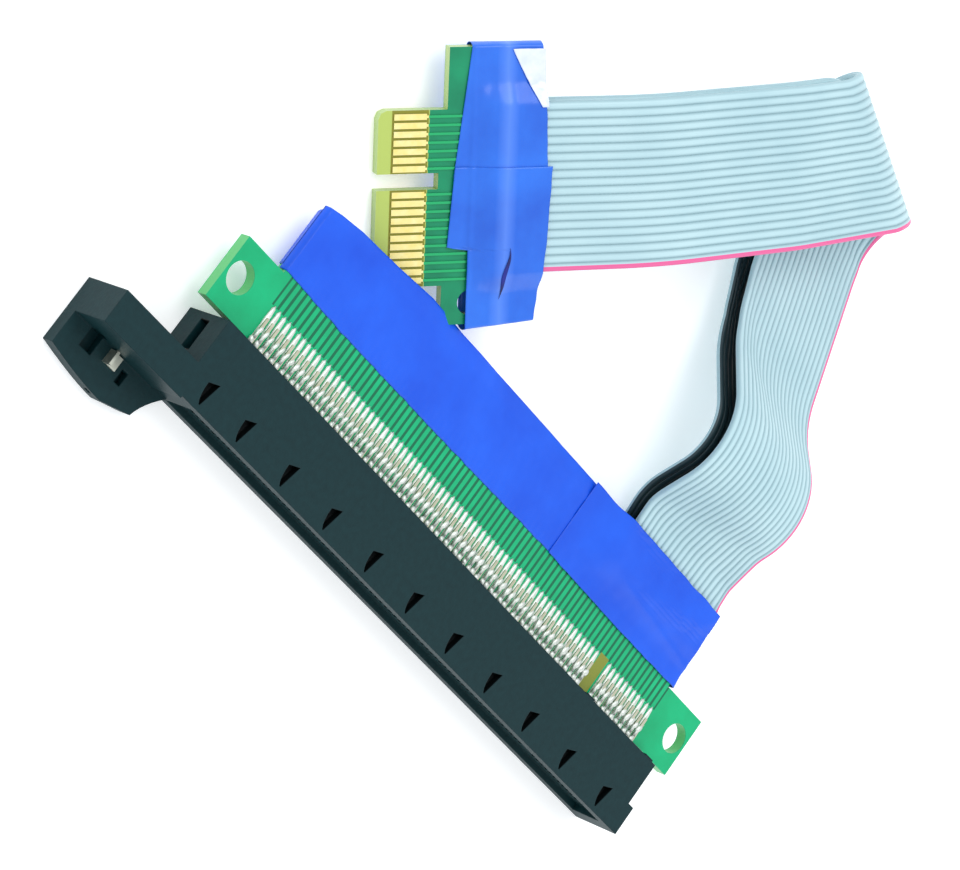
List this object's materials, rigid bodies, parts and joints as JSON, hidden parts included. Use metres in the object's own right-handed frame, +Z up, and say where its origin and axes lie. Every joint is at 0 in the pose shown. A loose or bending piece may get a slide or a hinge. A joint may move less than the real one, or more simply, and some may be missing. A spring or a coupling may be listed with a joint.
{
  "type": "graphics card riser cable",
  "caption": "Riser cable with a long card slot on a small board, two stacked flat ribbons folded over and a short edge plug wrapped in blue tape.",
  "frame": {"origin": "on the floor under the middle of the slot end's box, where the slot housing lies on its long side", "axes": "+X along the slot from the guide tail to the short side of the key, +Y from the slot's mouth to the ribbons, +Z up"},
  "size_m": [0.1106, 0.0947, 0.015],
  "materials": {
    "housing_plastic": "satin",
    "contact_metal": "satin",
    "clip_metal": "satin",
    "board_laminate": "satin",
    "tinned_copper": "satin",
    "wire_copper": "satin",
    "blue_tape": "gloss",
    "clear_tape": "gloss",
    "gold_plating": "polished",
    "ribbon_insulation": "satin"
  },
  "bodies": {
    "root": {"slot_housing": "housing_plastic", "slot_contacts_upper": "contact_metal", "slot_contacts_lower": "contact_metal", "tail_clip": "clip_metal", "slot_board": "board_laminate", "slot_traces_upper": "tinned_copper", "slot_traces_lower": "tinned_copper", "slot_wires_upper": "wire_copper", "slot_wires_lower": "wire_copper", "slot_tape_left": "blue_tape", "slot_tape_right": "blue_tape", "plug_board": "board_laminate", "plug_fingers_front": "gold_plating", "plug_fingers_back": "gold_plating", "plug_wires_front": "wire_copper", "plug_wires_back": "wire_copper", "plug_tape_upper": "blue_tape", "plug_tape_lower": "blue_tape", "plug_tape_clear": "clear_tape", "ribbon_outer": "ribbon_insulation", "ribbon_inner": "ribbon_insulation"}
  },
  "joints": []
}
